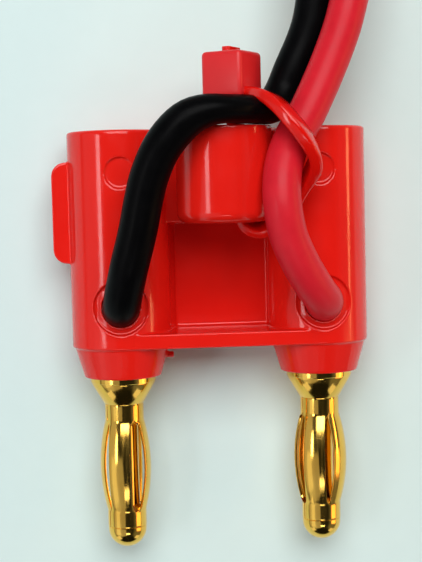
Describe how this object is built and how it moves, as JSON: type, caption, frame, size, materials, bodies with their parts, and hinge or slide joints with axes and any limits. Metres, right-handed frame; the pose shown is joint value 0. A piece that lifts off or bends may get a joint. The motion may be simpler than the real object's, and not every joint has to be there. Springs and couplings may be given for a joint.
{
  "type": "dual banana plug",
  "caption": "Dual banana plug: moulded body with sprung gold pins, stacking sockets behind them and soft leads held by a cable tie.",
  "frame": {"origin": "middle of the flat back of the moulded body, on the plane halfway along the bosses", "axes": "+X from the negative to the positive pin, +Y along the pins towards the sockets, +Z out of the flat back, up"},
  "size_m": [0.0472, 0.1142, 0.0168],
  "materials": {
    "red_moulding": "glossy moulded ABS",
    "gold_plated_brass": "bright gold plate",
    "blackened_steel": "blackened",
    "tinned_copper": "dull tin",
    "red_nylon": "satin moulded nylon",
    "black_silicone": "satin",
    "red_silicone": "satin"
  },
  "bodies": {
    "root": {"housing": "red_moulding", "negative_contact": "gold_plated_brass", "positive_contact": "gold_plated_brass", "negative_spring": "gold_plated_brass", "positive_spring": "gold_plated_brass", "negative_clamp_screw": "blackened_steel", "positive_clamp_screw": "blackened_steel", "negative_conductor": "tinned_copper", "positive_conductor": "tinned_copper", "cable_tie": "red_nylon", "negative_lead": "black_silicone", "positive_lead": "red_silicone", "negative_coil": "black_silicone", "positive_coil": "red_silicone", "coil_tie": "red_nylon"}
  },
  "joints": []
}
